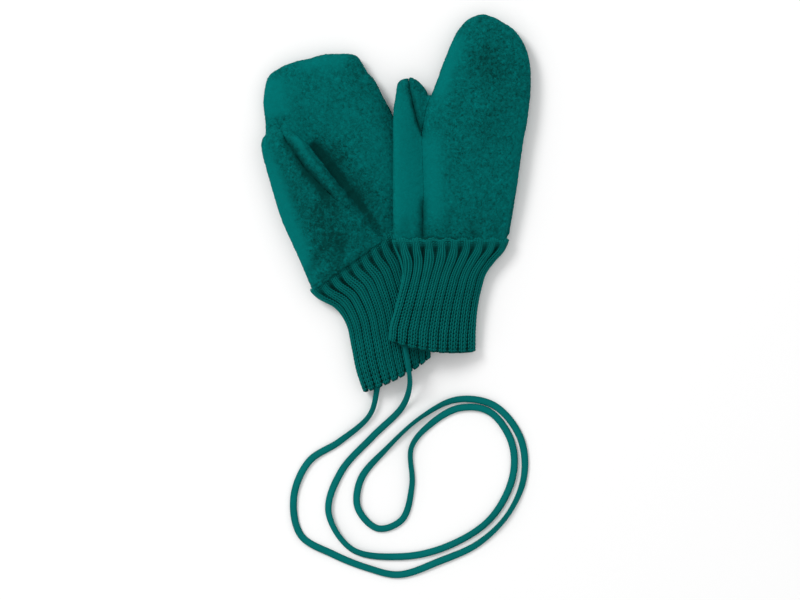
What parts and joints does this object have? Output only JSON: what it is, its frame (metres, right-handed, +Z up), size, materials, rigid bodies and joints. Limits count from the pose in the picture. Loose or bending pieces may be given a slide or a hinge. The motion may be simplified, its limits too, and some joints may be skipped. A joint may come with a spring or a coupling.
{
  "type": "pair of baby mittens",
  "caption": "Pair of knitted-fleece baby mittens laid flat, one partly over the other, with ribbed cuffs joined by a long looped cord.",
  "frame": {"origin": "middle of the two mittens' box, at the surface they lie on", "axes": "+X across the pair, from the left mitten to the right one; +Y from the cuffs to the fingertips; +Z up from the surface"},
  "size_m": [0.1484, 0.3096, 0.0206],
  "materials": {
    "fleece": "milled wool fleece with a short dense nap, deep teal green",
    "rib_knit": "fine two by two ribbed wool knit, deep teal green",
    "cord": "soft flat knitted tubular cord, deep teal green"
  },
  "bodies": {
    "root": {"left_back": "fleece", "left_upper_palm": "fleece", "left_lower_palm": "fleece", "left_cuff": "rib_knit", "right_back": "fleece", "right_upper_palm": "fleece", "right_lower_palm": "fleece", "right_cuff": "rib_knit", "cord": "cord"}
  },
  "joints": []
}
